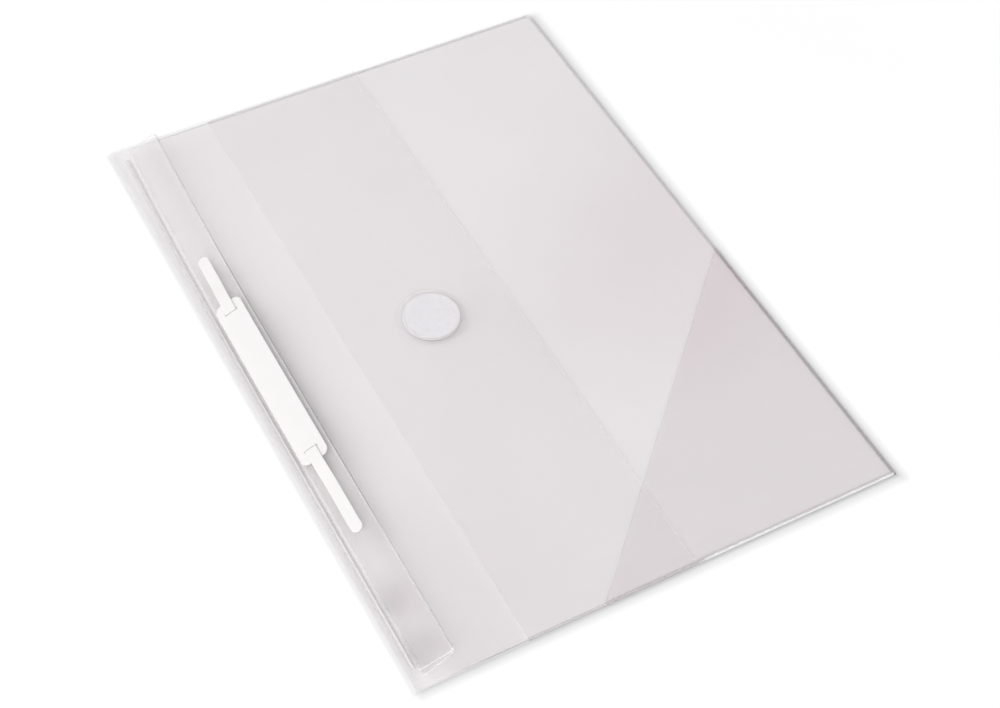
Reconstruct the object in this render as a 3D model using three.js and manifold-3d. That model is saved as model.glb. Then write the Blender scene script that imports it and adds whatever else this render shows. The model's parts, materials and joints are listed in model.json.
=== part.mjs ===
// A clear A4 document wallet of soft PVC film, lying closed on its back panel.
// It has a pocket with a corner pocket on its front, a closing flap held by a round hook-and-loop dot,
// and a filing strip along the spine that carries a two-tongue paper fastener.
// Millimetres. Z points up, Y runs along the spine and -X is the spine's side. The origin is on the
// surface that the wallet lies on, in the middle of the wallet's outline.
import * as THREE from "three";
import { mergeVertices } from "three/addons/utils/BufferGeometryUtils.js";
import Module from "manifold-3d";

const wasm = await Module();
wasm.setup();

const film = 0.2; // thickness of the PVC sheet
const clearance = 0.3; // between pieces that lie on each other or turn past each other
const arcSteps = 8; // straight steps in a rounded corner

const wallet = { width: 220, length: 310, farCorner: 3, nearCorner: 1 };
const pocket = { mouth: 49, room: 0.5, weld: 1.2 }; // mouth is its distance from the spine's outer edge
const corner = { leg: 138, weld: 1.2 }; // the triangle's two sides along the wallet's edges
const dot = { diameter: 25, thickness: 0.8, fromSpine: 88, fromMiddle: 3, rim: 2 };
const flap = { freeEdge: 124, riseStart: 32 }; // distances from the spine's outer edge
const seam = { fromSpine: 4, width: 2.4, height: 0.7, length: 293 };
const strip = { width: 17, length: 297, backLength: 305, corner: 3, slope: 25, room: 1, rootRoom: 0.2 };
const fastener = { spacing: 80, fromMiddle: -1, baseLength: 90, baseWidth: 9, baseThickness: 0.4 };
const bar = { length: 91.5, width: 12.6, corner: 3, thickness: 0.8 };
const slot = { side: 0.6, breadth: 1.4 }; // room beside the tongue, and the slot's size along the bar
const tongue = { width: 5.2, thickness: 0.3, post: 0.4, farReach: 34, nearReach: 44 };

const fromSpine = (distance) => distance - wallet.width / 2;
const farEdge = wallet.length / 2;
const rightEdge = wallet.width / 2;

// Heights of the layers above the surface that the wallet lies on, from the back panel up.
const frontUnder = film + pocket.room;
const frontTop = frontUnder + film;
const cornerUnder = frontTop + clearance;
const flapUnder = cornerUnder + film + clearance;
const flapTop = flapUnder + film;
const loopUnder = frontTop + dot.thickness + clearance;
const crownUnder = Math.max(flapUnder, loopUnder + dot.thickness + clearance);

// The film turns round the spine on this radius, and the flap swings about its centre line.
const spineRadius = (flapTop + clearance) / 2;
const flapRoot = spineRadius + Math.sqrt((spineRadius + clearance) ** 2 - (flapUnder - spineRadius) ** 2);

// The strip swings about the middle of its welded seam. Its own frame has X up the strip and Z out of it.
const seamCentre = flapTop + seam.height / 2;
const stripRoot = Math.hypot(seam.width, seam.height) / 2 + clearance;
const stripHalf = strip.room / 2 + film;
const stripMiddle = strip.width / 2;
const barUnder = stripHalf + clearance;
const barTop = barUnder + bar.thickness;
const tongueUnder = barTop + clearance;

const clearFilm = (name, shade) =>
  new THREE.MeshStandardMaterial({
    name,
    color: shade,
    roughness: 0.12,
    metalness: 0,
    transparent: true,
    opacity: 0.35,
  });
const filmMaterial = clearFilm("clear_film", 0xe4e1e3);
const weldMaterial = clearFilm("welded_film", 0xd6d3d6);
const whitePlastic = new THREE.MeshStandardMaterial({ name: "white_plastic", color: 0xf7f6f5, roughness: 0.45 });
const dotFabric = new THREE.MeshStandardMaterial({ name: "dot_fabric", color: 0xe6e6ea, roughness: 0.9 });

function meshOf(name, geometry, material) {
  const mesh = new THREE.Mesh(geometry, material);
  mesh.name = name;
  return mesh;
}

// A plate of the given outline, from height low to height high.
function plate(shape, low, high) {
  const settings = { depth: high - low, bevelEnabled: false, curveSegments: arcSteps };
  return new THREE.ExtrudeGeometry(shape, settings).translate(0, 0, low);
}

// A section drawn in X and Z, carried along Y from near to far.
function alongY(section, near, far) {
  const settings = { depth: far - near, bevelEnabled: false, curveSegments: arcSteps };
  return new THREE.ExtrudeGeometry(section, settings).rotateX(Math.PI / 2).translate(0, far, 0);
}

function polygon(points) {
  return new THREE.Shape(points.map(([x, y]) => new THREE.Vector2(x, y)));
}

// A rectangle with its own radius at each corner, where 0 leaves the corner sharp.
function rectangle(left, right, near, far, radii = {}) {
  const { nearLeft = 0, nearRight = 0, farRight = 0, farLeft = 0 } = radii;
  const shape = new THREE.Shape();
  shape.moveTo(left + nearLeft, near);
  shape.lineTo(right - nearRight, near);
  if (nearRight) shape.absarc(right - nearRight, near + nearRight, nearRight, -Math.PI / 2, 0);
  shape.lineTo(right, far - farRight);
  if (farRight) shape.absarc(right - farRight, far - farRight, farRight, 0, Math.PI / 2);
  shape.lineTo(left + farLeft, far);
  if (farLeft) shape.absarc(left + farLeft, far - farLeft, farLeft, Math.PI / 2, Math.PI);
  shape.lineTo(left, near + nearLeft);
  if (nearLeft) shape.absarc(left + nearLeft, near + nearLeft, nearLeft, Math.PI, Math.PI * 1.5);
  return shape;
}

function roundedRectangle(left, right, near, far, radius) {
  const radii = { nearLeft: radius, nearRight: radius, farRight: radius, farLeft: radius };
  return rectangle(left, right, near, far, radii);
}

function solidOf(geometry) {
  const bare = geometry.clone().deleteAttribute("normal").deleteAttribute("uv");
  const merged = mergeVertices(bare, 1e-4);
  const vertProperties = new Float32Array(merged.attributes.position.array);
  const triVerts = new Uint32Array(merged.index.array);
  return new wasm.Manifold(new wasm.Mesh({ numProp: 3, vertProperties, triVerts }));
}

function geometryOf(solid) {
  const { numProp, vertProperties, triVerts } = solid.getMesh();
  const shared = new THREE.BufferAttribute(vertProperties, numProp);
  const geometry = new THREE.BufferGeometry().setAttribute("position", shared);
  geometry.setIndex(new THREE.BufferAttribute(triVerts, 1));
  geometry.computeVertexNormals();
  return geometry;
}

function backPanel() {
  const radii = { nearRight: wallet.nearCorner, farRight: wallet.farCorner };
  const outline = rectangle(fromSpine(spineRadius), rightEdge, -farEdge, farEdge, radii);
  return meshOf("back_panel", plate(outline, 0, film), filmMaterial);
}

// The film's turn round the spine, from the back panel up and over to just short of the flap.
function spineFold() {
  const centre = fromSpine(spineRadius);
  const upperEnd = Math.PI / 4;
  const section = new THREE.Shape();
  section.absarc(centre, spineRadius, spineRadius, upperEnd, Math.PI * 1.5);
  section.absarc(centre, spineRadius, spineRadius - film, Math.PI * 1.5, upperEnd, true);
  return meshOf("spine_fold", alongY(section, -farEdge, farEdge), filmMaterial);
}

function frontPanel() {
  const radii = { nearRight: wallet.nearCorner, farRight: wallet.farCorner };
  const outline = rectangle(fromSpine(pocket.mouth), rightEdge, -farEdge, farEdge, radii);
  return meshOf("front_panel", plate(outline, frontUnder, frontTop), filmMaterial);
}

// Fused strips that join two layers along the wallet's edges and fill the space between them.
function pocketWelds() {
  const mouth = fromSpine(pocket.mouth);
  const inner = rightEdge - pocket.weld;
  const side = farEdge - pocket.weld;
  const weld = (name, outline) => meshOf(name, plate(outline, film, frontUnder), weldMaterial);
  return [
    weld("near_weld", rectangle(mouth, inner, -farEdge, -side)),
    weld("far_weld", rectangle(mouth, inner, side, farEdge)),
    weld(
      "right_weld",
      rectangle(inner, rightEdge, -farEdge, farEdge, { nearRight: pocket.weld, farRight: pocket.weld }),
    ),
  ];
}

function cornerPocket() {
  const [right, near] = [rightEdge, -farEdge];
  const outline = polygon([
    [right - corner.leg, near],
    [right, near],
    [right, near + corner.leg],
  ]);
  return meshOf("corner_pocket", plate(outline, cornerUnder, cornerUnder + film), filmMaterial);
}

// The triangle's two welds stop short of its tips, where the diagonal edge crosses them.
function cornerWelds() {
  const [right, near] = [rightEdge, -farEdge];
  const tip = corner.leg - corner.weld;
  const weld = (name, outline) => meshOf(name, plate(outline, frontTop, cornerUnder), weldMaterial);
  return [
    weld("corner_near_weld", rectangle(right - tip, right - corner.weld, near, near + corner.weld)),
    weld("corner_right_weld", rectangle(right - corner.weld, right, near, near + tip)),
  ];
}

// Height of the flap's underside at a distance from the spine: flat, then a long soft rise over the dot.
function flapHeight(distance) {
  const crown = dot.diameter / 2 + dot.rim;
  const rise = THREE.MathUtils.smoothstep(distance, flap.riseStart, dot.fromSpine - crown);
  const fall = THREE.MathUtils.smoothstep(distance, dot.fromSpine + crown, flap.freeEdge);
  return flapUnder + (crownUnder - flapUnder) * Math.min(rise, 1 - fall);
}

function closureFlap() {
  const steps = 48;
  const under = [];
  const over = [];
  for (let i = 0; i <= steps; i += 1) {
    const distance = flapRoot + ((flap.freeEdge - flapRoot) * i) / steps;
    under.push([fromSpine(distance), flapHeight(distance)]);
    over.unshift([fromSpine(distance), flapHeight(distance) + film]);
  }
  const section = polygon([...under, ...over]);
  return meshOf("closure_flap", alongY(section, -farEdge, farEdge), filmMaterial);
}

// One half of the hook-and-loop dot, standing on the given height.
function dotHalf(name, under) {
  const outline = new THREE.Shape().absarc(
    fromSpine(dot.fromSpine),
    dot.fromMiddle,
    dot.diameter / 2,
    0,
    Math.PI * 2,
  );
  const settings = { depth: dot.thickness, bevelEnabled: false, curveSegments: 6 * arcSteps };
  return meshOf(name, new THREE.ExtrudeGeometry(outline, settings).translate(0, 0, under), dotFabric);
}

// The raised bead that welds the strip to the flap: flat below and rounded above.
function stripSeam() {
  const middle = fromSpine(seam.fromSpine);
  const half = seam.width / 2;
  const section = new THREE.Shape();
  section.moveTo(middle - half, flapTop);
  section.lineTo(middle + half, flapTop);
  section.absellipse(middle, flapTop, half, seam.height, 0, Math.PI);
  return meshOf("strip_seam", alongY(section, -seam.length / 2, seam.length / 2), weldMaterial);
}

// The strip's section, alike above and below its own middle line: a thin root that opens over a short
// ramp to the full height, and a half-round fold at the free edge.
function stripLoop(root, half, rootHalf, freeEdge, path) {
  const ramp = stripRoot + 2 * strip.room;
  path.moveTo(root, -rootHalf);
  path.lineTo(ramp, -half);
  path.absarc(freeEdge - half, 0, half, -Math.PI / 2, Math.PI / 2);
  path.lineTo(ramp, half);
  path.lineTo(root, rootHalf);
  return path;
}

// A frame round the outline that is kept, as a cutter between two heights.
function trimmer(outline, low, high) {
  const [reach, margin] = [strip.backLength, strip.width];
  const around = rectangle(-margin, strip.width + margin, -reach, reach);
  around.holes.push(outline);
  return solidOf(plate(around, low, high));
}

function tongueSlot(y) {
  const half = tongue.width / 2 + slot.side;
  return rectangle(stripMiddle - half, stripMiddle + half, y - slot.breadth / 2, y + slot.breadth / 2);
}

const tongueRoots = [fastener.fromMiddle + fastener.spacing / 2, fastener.fromMiddle - fastener.spacing / 2];

// A flat sleeve of film, welded at its root and folded at its free edge. Its upper layer is cut square
// with rounded corners, and its lower layer is longer at the root and tapers to the same free corners.
function filingStrip() {
  const section = stripLoop(stripRoot, stripHalf, strip.rootRoom / 2 + film, strip.width, new THREE.Shape());
  const hollowRoot = stripRoot + film;
  const hollow = stripLoop(hollowRoot, strip.room / 2, strip.rootRoom / 2, strip.width - film, new THREE.Path());
  section.holes.push(hollow);
  const tube = solidOf(alongY(section, -strip.backLength / 2, strip.backLength / 2));
  const [half, back, far] = [strip.length / 2, strip.backLength / 2, 2 * stripHalf];
  const square = rectangle(0, strip.width, -half, half, { nearRight: strip.corner, farRight: strip.corner });
  const tapered = polygon([
    [0, -back],
    [strip.width, -half],
    [strip.width, half],
    [0, back],
  ]);
  let solid = tube.subtract(trimmer(square, 0, far)).subtract(trimmer(tapered, -far, 0));
  for (const y of tongueRoots) solid = solid.subtract(solidOf(plate(tongueSlot(y), 0, far)));
  return meshOf("filing_strip", geometryOf(solid), filmMaterial);
}

// The fastener's foot lies inside the strip. Two posts rise from it through the strip and the bar.
function fastenerBase() {
  const [half, middle] = [fastener.baseLength / 2, fastener.fromMiddle];
  const left = stripMiddle - fastener.baseWidth / 2;
  const outline = roundedRectangle(left, left + fastener.baseWidth, middle - half, middle + half, slot.breadth);
  const top = fastener.baseThickness / 2;
  let solid = solidOf(plate(outline, -top, top));
  for (const y of tongueRoots) {
    const across = rectangle(
      stripMiddle - tongue.width / 2,
      stripMiddle + tongue.width / 2,
      y - tongue.post / 2,
      y + tongue.post / 2,
    );
    solid = solid.add(solidOf(plate(across, 0, barTop)));
  }
  return meshOf("fastener_base", geometryOf(solid), whitePlastic);
}

function fastenerBar() {
  const [half, middle] = [bar.length / 2, fastener.fromMiddle];
  const left = stripMiddle - bar.width / 2;
  const outline = roundedRectangle(left, left + bar.width, middle - half, middle + half, bar.corner);
  outline.holes.push(...tongueRoots.map(tongueSlot));
  return meshOf("fastener_bar", plate(outline, barUnder, barTop), whitePlastic);
}

// A tongue bent outwards from its post, lying over the bar's end with its round tip on the strip.
function fastenerTongue(name, root, reach, outwards) {
  const radius = tongue.width / 2;
  const outline = new THREE.Shape();
  outline.moveTo(-radius, tongue.thickness);
  outline.lineTo(radius, tongue.thickness);
  outline.lineTo(radius, reach - radius);
  outline.absarc(0, reach - radius, radius, 0, Math.PI);
  outline.lineTo(-radius, tongue.thickness);
  const mesh = meshOf(name, plate(outline, tongueUnder, tongueUnder + tongue.thickness), whitePlastic);
  mesh.position.set(stripMiddle, root, 0);
  mesh.rotation.z = outwards > 0 ? 0 : Math.PI;
  return mesh;
}

function stripGroup() {
  const group = new THREE.Group();
  const [farRoot, nearRoot] = tongueRoots;
  group.add(
    filingStrip(),
    fastenerBase(),
    fastenerBar(),
    fastenerTongue("far_tongue", farRoot, tongue.farReach, 1),
    fastenerTongue("near_tongue", nearRoot, tongue.nearReach, -1),
  );
  group.position.set(fromSpine(seam.fromSpine), 0, seamCentre);
  group.rotation.y = -THREE.MathUtils.degToRad(strip.slope);
  return group;
}

function documentWallet() {
  const group = new THREE.Group();
  group.add(backPanel(), spineFold(), frontPanel(), ...pocketWelds(), cornerPocket(), ...cornerWelds());
  group.add(dotHalf("hook_dot", frontTop), closureFlap(), dotHalf("loop_dot", loopUnder), stripSeam());
  group.add(stripGroup());
  return group;
}

export default documentWallet();
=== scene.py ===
"""The finished surfaces of a clear document wallet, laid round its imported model.

The wallet lies closed on its back: a pocket with a corner pocket, a closing flap over a round
hook-and-loop dot, and a filing strip along the spine with a white two-tongue paper fastener.
Everything is in metres. Z points up, Y runs along the spine and -X is the spine's side.
"""
import json
import math

import bpy
import numpy as np
from bpy.props import FloatProperty, FloatVectorProperty, PointerProperty
from mathutils import Matrix, Vector


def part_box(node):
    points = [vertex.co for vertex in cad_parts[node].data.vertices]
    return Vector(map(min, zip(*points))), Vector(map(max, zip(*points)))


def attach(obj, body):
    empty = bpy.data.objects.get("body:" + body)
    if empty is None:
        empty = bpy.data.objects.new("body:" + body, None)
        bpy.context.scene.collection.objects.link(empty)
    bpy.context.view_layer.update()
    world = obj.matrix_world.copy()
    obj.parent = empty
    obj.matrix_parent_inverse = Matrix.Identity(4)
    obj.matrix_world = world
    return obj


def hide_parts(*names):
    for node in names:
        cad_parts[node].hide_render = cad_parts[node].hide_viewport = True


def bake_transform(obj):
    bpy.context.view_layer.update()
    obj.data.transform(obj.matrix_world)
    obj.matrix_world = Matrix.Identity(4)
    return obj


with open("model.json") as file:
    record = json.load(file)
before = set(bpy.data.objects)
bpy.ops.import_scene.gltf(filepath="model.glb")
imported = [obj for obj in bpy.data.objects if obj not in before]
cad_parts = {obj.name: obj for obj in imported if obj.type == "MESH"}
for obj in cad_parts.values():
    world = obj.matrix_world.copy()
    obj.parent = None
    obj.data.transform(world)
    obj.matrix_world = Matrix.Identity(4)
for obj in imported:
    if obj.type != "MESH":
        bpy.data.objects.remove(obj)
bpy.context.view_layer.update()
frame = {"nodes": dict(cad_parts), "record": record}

bl_info = {
    "name": "Clear document wallet",
    "version": (1, 0, 0),
    "blender": (4, 5, 0),
    "location": "View3D > Sidebar > Wallet",
    "description": "Builds the films, welds, closure and paper fastener of a clear document wallet",
    "category": "Object",
}

MM = 0.001


def low_corner(node):
    """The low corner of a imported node's box."""
    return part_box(node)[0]


def high_corner(node):
    """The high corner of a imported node's box."""
    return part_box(node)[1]


# The wallet's outline and the heights of its layers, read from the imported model.
LEFT = low_corner("spine_fold").x
RIGHT = high_corner("back_panel").x
NEAR = low_corner("back_panel").y
FAR = high_corner("back_panel").y
MOUTH = low_corner("front_panel").x
FLAP_EDGE = high_corner("closure_flap").x
FLAP_ROOT = low_corner("closure_flap").x
FOLD_X = low_corner("back_panel").x
FILM = high_corner("back_panel").z
FRONT_UNDER = low_corner("front_panel").z
CORNER_UNDER = low_corner("corner_pocket").z
FLAP_UNDER = low_corner("closure_flap").z
CREST_UNDER = high_corner("loop_dot").z + 0.1 * MM
WELD = RIGHT - low_corner("right_weld").x
INSIDE_WELD = 0.4 * MM  # how far a welded sheet stops short of the wallet's edge
CORNER_LEG = RIGHT - low_corner("corner_pocket").x
DOT_CENTRE = (low_corner("hook_dot") + high_corner("hook_dot")) / 2
DOT_RADIUS = high_corner("hook_dot").x - DOT_CENTRE.x
SEAM_X = (low_corner("strip_seam").x + high_corner("strip_seam").x) / 2
SEAM_END = high_corner("strip_seam").y
JOINTS = {joint["name"]: joint for joint in frame["record"]["behaviour"]["joints"]}
STRIP_PIVOT = Vector(JOINTS["strip_fold"]["pos_m"])
TONGUE_PIVOTS = {
    name: Vector(JOINTS[f"{name}_bend"]["pos_m"]) for name in ("far_tongue", "near_tongue")
}
BAR_Y = (TONGUE_PIVOTS["far_tongue"].y + TONGUE_PIVOTS["near_tongue"].y) / 2
STRIP_ALONG = Vector(JOINTS["far_tongue_bend"]["axis"])
STRIP_OUT = Vector((-STRIP_ALONG.z, 0.0, STRIP_ALONG.x))


def number(name, default, low, high, description, unit="NONE"):
    """A number with its limits."""
    return FloatProperty(
        name=name, description=description, default=default, min=low, max=high, unit=unit,
    )


def size_in_mm(name, default, low, high, description):
    """A size and its limits, given in millimetres."""
    return number(name, default * MM, low * MM, high * MM, description, "LENGTH")


def plain_colour(name, default, description):
    """A colour."""
    return FloatVectorProperty(
        name=name, description=description, default=default, min=0, max=1, subtype="COLOR",
    )


class WalletSizes(bpy.types.PropertyGroup):
    """Sizes of the wallet's soft shape and fine details."""

    grid_step: size_in_mm("Grid step", 2.5, 1, 20, "Distance between a sheet's points")
    ripple: size_in_mm("Ripple", 0.22, 0, 1, "Height of the low waves in the loose sheets")
    line: size_in_mm("Edge line", 0.35, 0.05, 2, "Width over which a cut edge looks denser")
    corner: size_in_mm("Corner radius", 3, 0.5, 10, "Radius of the wallet's rounded far corners")
    bow: size_in_mm("Strip bow", 2.3, 0, 5, "How far the strip's far end leans from the spine")
    drape: size_in_mm("Drape", 38, 5, 60, "Width of the skirt in which the flap falls from the dot")
    round_edge: size_in_mm("Rounded edge", 0.25, 0.05, 0.4, "Radius of the fastener's moulded edges")


class WalletColours(bpy.types.PropertyGroup):
    """Colours of the wallet's films and solid pieces."""

    haze: plain_colour("Film haze", (0.76, 0.735, 0.742), "The faint haze in the clear film")
    # Film edge also colours the painted shade on the films, and Pale edge colours their painted
    # highlights and painted light.
    edge: plain_colour("Film edge", (0.30, 0.285, 0.30), "A cut or folded edge seen through the film")
    pale: plain_colour("Pale edge", (0.93, 0.92, 0.93), "A cut edge that faces the light")
    plastic: plain_colour("Fastener", (0.815, 0.80, 0.797), "The fastener's white plastic")
    fabric: plain_colour("Dot", (0.90, 0.88, 0.915), "The hook-and-loop dot")


# Shapes


def smoothstep(value, low, high):
    """0 below low, 1 above high, and a smooth S between them."""
    t = np.clip((value - low) / (high - low), 0, 1)
    return t * t * (3 - 2 * t)


def peak(distance, width):
    """A soft line: 1 at no distance, falling away over the width."""
    return np.exp(-((distance / width) ** 2))


def arc_drop(inset, radius):
    """How far a rounded edge has fallen away at a distance inside it."""
    short = np.clip(radius - inset, 0, radius)
    return radius - np.sqrt(radius**2 - short**2)


def moved_left(line, offset):
    """A plane line moved to the left of its own direction."""
    ahead = np.gradient(line, axis=0)
    ahead /= np.linalg.norm(ahead, axis=1)[:, None]
    return line + offset * np.stack([-ahead[:, 1], ahead[:, 0]], -1)


def waves(x, y, spacing, height, phase):
    """Low soft waves from 0 to height: two slanted sines whose lengths don't divide each other."""
    first = np.sin(2 * np.pi * (0.83 * x + 0.31 * y) / spacing + phase)
    second = np.sin(2 * np.pi * (0.42 * x - 0.74 * y) / (1.37 * spacing) + 2.1 * phase)
    return height * (2 + first + second) / 4


def graded(low, high, step, fine=(0.15, 0.35, 0.65, 1.1, 1.7, 2.4, 3.0)):
    """Grid lines from low to high: evenly spaced, with closer ones by each end."""
    offsets = np.array((0, *fine)) * MM
    inner = np.linspace(low + offsets[-1], high - offsets[-1], max(2, round((high - low) / step)))
    return np.unique(np.concatenate([low + offsets, inner, high - offsets]).round(8))


def rounded_grid(sides, radii, x_lines, shares):
    """Points in plan: x lines, each divided between its near and far ends by the shares.

    The sides are a rectangle's left, right, near and far. The radii are those of its corners:
    near left, near right, far left and far right.
    """
    left, right, near, far = sides
    insets = (x_lines - left, right - x_lines) * 2
    drops = [arc_drop(inset, radius) for inset, radius in zip(insets, radii)]
    near = (near + np.maximum(*drops[:2]))[:, None]
    far = (far - np.maximum(*drops[2:]))[:, None]
    x = np.repeat(x_lines[:, None], len(shares), axis=1)
    return x, near + shares[None, :] * (far - near)


def to_ends(y):
    """Distance from the nearer end of each of a grid's x lines."""
    return np.minimum(y - y[:, :1], y[:, -1:] - y)


def placed(name, data):
    """A new object in the scene that shows the data."""
    holder = bpy.data.objects.new(name, data)
    bpy.context.scene.collection.objects.link(holder)
    return holder


def add_mesh(name, points, faces, marks):
    """A mesh object of the points and faces, turned to face outwards by the sign of its volume.

    The faces are arrays, one for each number of corners. Each point keeps its place at rest and
    its named marks, which the materials read.
    """
    volume = 0.0
    for rows in faces:
        for k in range(1, rows.shape[1] - 1):
            a, b, c = points[rows[:, 0]], points[rows[:, k]], points[rows[:, k + 1]]
            volume += np.einsum("ij,ij->", a, np.cross(b, c))
    if volume < 0:
        faces = [rows[:, ::-1] for rows in faces]
    mesh = bpy.data.meshes.new(name)
    listed = [row for rows in faces for row in rows.tolist()]
    mesh.from_pydata(points.tolist(), [], listed, shade_flat=False)
    mesh.set_sharp_from_angle(angle=math.radians(40))
    place = mesh.attributes.new("place", "FLOAT_VECTOR", "POINT")
    place.data.foreach_set("vector", points.astype(np.float32).ravel())
    for mark in ("dark_line", "pale_line", "dim"):
        values = marks.get(mark, np.zeros(len(points)))
        attribute = mesh.attributes.new(mark, "FLOAT", "POINT")
        attribute.data.foreach_set("value", values.astype(np.float32))
    if mesh.validate():
        raise RuntimeError(f"{name} had faces that Blender took out")
    return placed(name, mesh)


def shell(name, top, bottom, marks=None, keep=None):
    """A closed thin solid between two grids of points, without the cells that keep leaves out.

    Its walls stand on each edge of the kept cells that no second kept cell shares.
    """
    rows, columns = top.shape[:2]
    count = rows * columns
    index = np.arange(count).reshape(rows, columns)
    cells = np.stack([index[:-1, :-1], index[1:, :-1], index[1:, 1:], index[:-1, 1:]], -1)
    cells = cells.reshape(-1, 4) if keep is None else cells[keep]
    start = cells.ravel()
    end = np.roll(cells, -1, axis=1).ravel()
    free = ~np.isin(start * count + end, end * count + start)
    walls = np.stack([end[free], start[free], start[free] + count, end[free] + count], -1)
    faces = np.concatenate([cells, cells[:, ::-1] + count, walls])
    points = np.concatenate([top.reshape(-1, 3), bottom.reshape(-1, 3)])
    used, renumbered = np.unique(faces, return_inverse=True)
    doubled = {key: np.tile(np.ravel(value), 2)[used] for key, value in (marks or {}).items()}
    return add_mesh(name, points[used], [renumbered.reshape(faces.shape)], doubled)


def carried(name, section, path, across, marks):
    """A closed section carried along a path, with a flat face at each end.

    A point is the path's point, plus the section's first coordinate in the direction across,
    plus its second one upwards. A mark is its strength along the path and round the section.
    """
    across = np.broadcast_to(np.array(across, float), path.shape)
    upward = np.array((0.0, 0.0, 1.0))
    rings = path[:, None] + section[None, :, :1] * across[:, None] + section[None, :, 1:] * upward
    n, k = len(path), len(section)
    index = np.arange(n * k).reshape(n, k)
    beside = np.roll(index, -1, axis=1)
    sides = np.stack([index[:-1], index[1:], beside[1:], beside[:-1]], -1).reshape(-1, 4)
    caps = np.stack([index[0], index[-1][::-1]])
    marks = {key: np.outer(np.zeros(n) + a, b).ravel() for key, (a, b) in marks.items()}
    return add_mesh(name, rings.reshape(-1, 3), [sides, caps], marks)


def dress(piece, material, node, slot, *bodies, start=None, end=None):
    """Gives a finished piece its material and hides the imported node that it stands for.

    It rides on one body; with two bodies it stays where it stands and is not bent. The places start
    and end are not used.
    """
    piece.data.materials.append(material)
    if len(bodies) == 1:
        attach(piece, *bodies)
    else:
        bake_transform(piece)
    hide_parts(node)


# The sheets' heights


def wallet_grid(sizes, left, right, x_lines, closer=(), margin=0.0):
    """Points in plan on the wallet's outline between two x sides, drawn in by the margin.

    The lines along it are evenly spaced, with the closer ones added.
    """
    least, inset = 0.2 * MM, left - LEFT
    near_left = near_right = far_left = far_right = 0.0
    if left < FOLD_X + MM:
        near_left = max(sizes.corner / 2 - inset, least)
        far_left = max(sizes.corner - inset, least)
    if right > FLAP_EDGE + MM:
        near_right, far_right = MM, sizes.corner
    sides = (left, right - margin, NEAR + margin, FAR - margin)
    shares = np.union1d(graded(0, FAR - NEAR, sizes.grid_step), closer) / (FAR - NEAR)
    return rounded_grid(sides, (near_left, near_right, far_left, far_right), x_lines, shares)


def welded_grid(sizes, left):
    """Points in plan for a sheet from its left side to just inside the welds."""
    x_lines = graded(left, RIGHT - INSIDE_WELD, sizes.grid_step)
    return wallet_grid(sizes, left, RIGHT, x_lines, margin=INSIDE_WELD)


def from_dot(x, y):
    """Distance from the middle of the dot."""
    return np.hypot(x - DOT_CENTRE.x, y - DOT_CENTRE.y)


def dot_angle(x, y):
    """Direction from the middle of the dot."""
    return np.arctan2(y - DOT_CENTRE.y, x - DOT_CENTRE.x)


def front_under(sizes, x, y):
    """The front sheet is held up at its welds and by the dot, and lies lower and loose between."""
    sag, skirt = 0.3 * MM, 12 * MM
    slack = FRONT_UNDER - sag + waves(x, y, 71 * MM, sizes.ripple, 0.7)
    to_weld = np.minimum(RIGHT - x, np.minimum(y - NEAR, FAR - y))
    held = 1 - smoothstep(to_weld, 0.5 * MM, 14 * MM)
    held = np.maximum(held, 1 - smoothstep(from_dot(x, y), DOT_RADIUS, DOT_RADIUS + skirt))
    return slack + (FRONT_UNDER - slack) * held


def corner_under(sizes, x, y):
    """The corner sheet lies just over the front sheet, and a little higher at its two welds."""
    gap = 0.08 * MM + waves(x, y, 47 * MM, 0.6 * sizes.ripple, 2.4)
    slack = front_under(sizes, x, y) + FILM + gap
    held = 1 - smoothstep(np.minimum(RIGHT - x, y - NEAR), 0.5 * MM, 11 * MM)
    return slack + (CORNER_UNDER - slack) * held


def flap_under(sizes, x, y):
    """The flap lies low and loose, and rises round the dot in a skirt that steepens towards it.

    Three shallow folds run down the skirt, as a sine of the direction from the dot.
    """
    sag = 0.2 * MM - waves(x, y, 83 * MM, sizes.ripple, 1.3)
    low = FLAP_UNDER - sag * smoothstep(x - LEFT, 8 * MM, 24 * MM)
    share = np.clip((from_dot(x, y) - DOT_RADIUS - MM) / sizes.drape, 0, 1)
    folds = 0.35 * MM * np.sin(3 * dot_angle(x, y) + 0.9) * share * (1 - share) ** 2
    return low + (CREST_UNDER - low) * (1 - share) ** 3 + folds


def sheet_between(name, x, y, under, marks):
    """A film of the wallet's thickness whose underside has the given height at each point."""
    top = np.stack([x, y, under + FILM], -1)
    bottom = np.stack([x, y, under], -1)
    return shell(name, top, bottom, marks)


def strip_bow(sizes, y):
    """How far the seam and strip lean from the spine: a parabola over the far half."""
    lean_start = 8 * MM
    share = np.clip((y - lean_start) / (SEAM_END - lean_start), 0, None)
    return sizes.bow * share**2


def back_sheet(sizes):
    """The back: flat on the table, from the spine's fold to the welds on its other three sides."""
    x, y = welded_grid(sizes, FOLD_X)
    to_end = np.minimum(y - NEAR, FAR - y)
    free = (1 - smoothstep(x, MOUTH, MOUTH + MM)) * smoothstep(x, LEFT + 8 * MM, LEFT + 45 * MM)
    # Painted shade of the strip over the back, left of the pocket's mouth, stronger over the near
    # half.
    near_half = 1 - smoothstep(y, NEAR + 20 * MM, -20 * MM)
    uncovered = 1 - smoothstep(x, MOUTH - 4 * MM, MOUTH + MM)
    return sheet_between("back_sheet", x, y, 0 * x, {
        "dark_line": 0.3 * peak(to_end - INSIDE_WELD, sizes.line) * free,
        "dim": (0.4 + 0.6 * near_half) * uncovered,
    })


def front_sheet(sizes):
    """The pocket's front: a loose sheet from its open mouth to the welds."""
    x, y = welded_grid(sizes, MOUTH)
    marks = {"dark_line": 0.08 * peak(x - MOUTH, sizes.line)}
    return sheet_between("front_sheet", x, y, front_under(sizes, x, y), marks)


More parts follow.
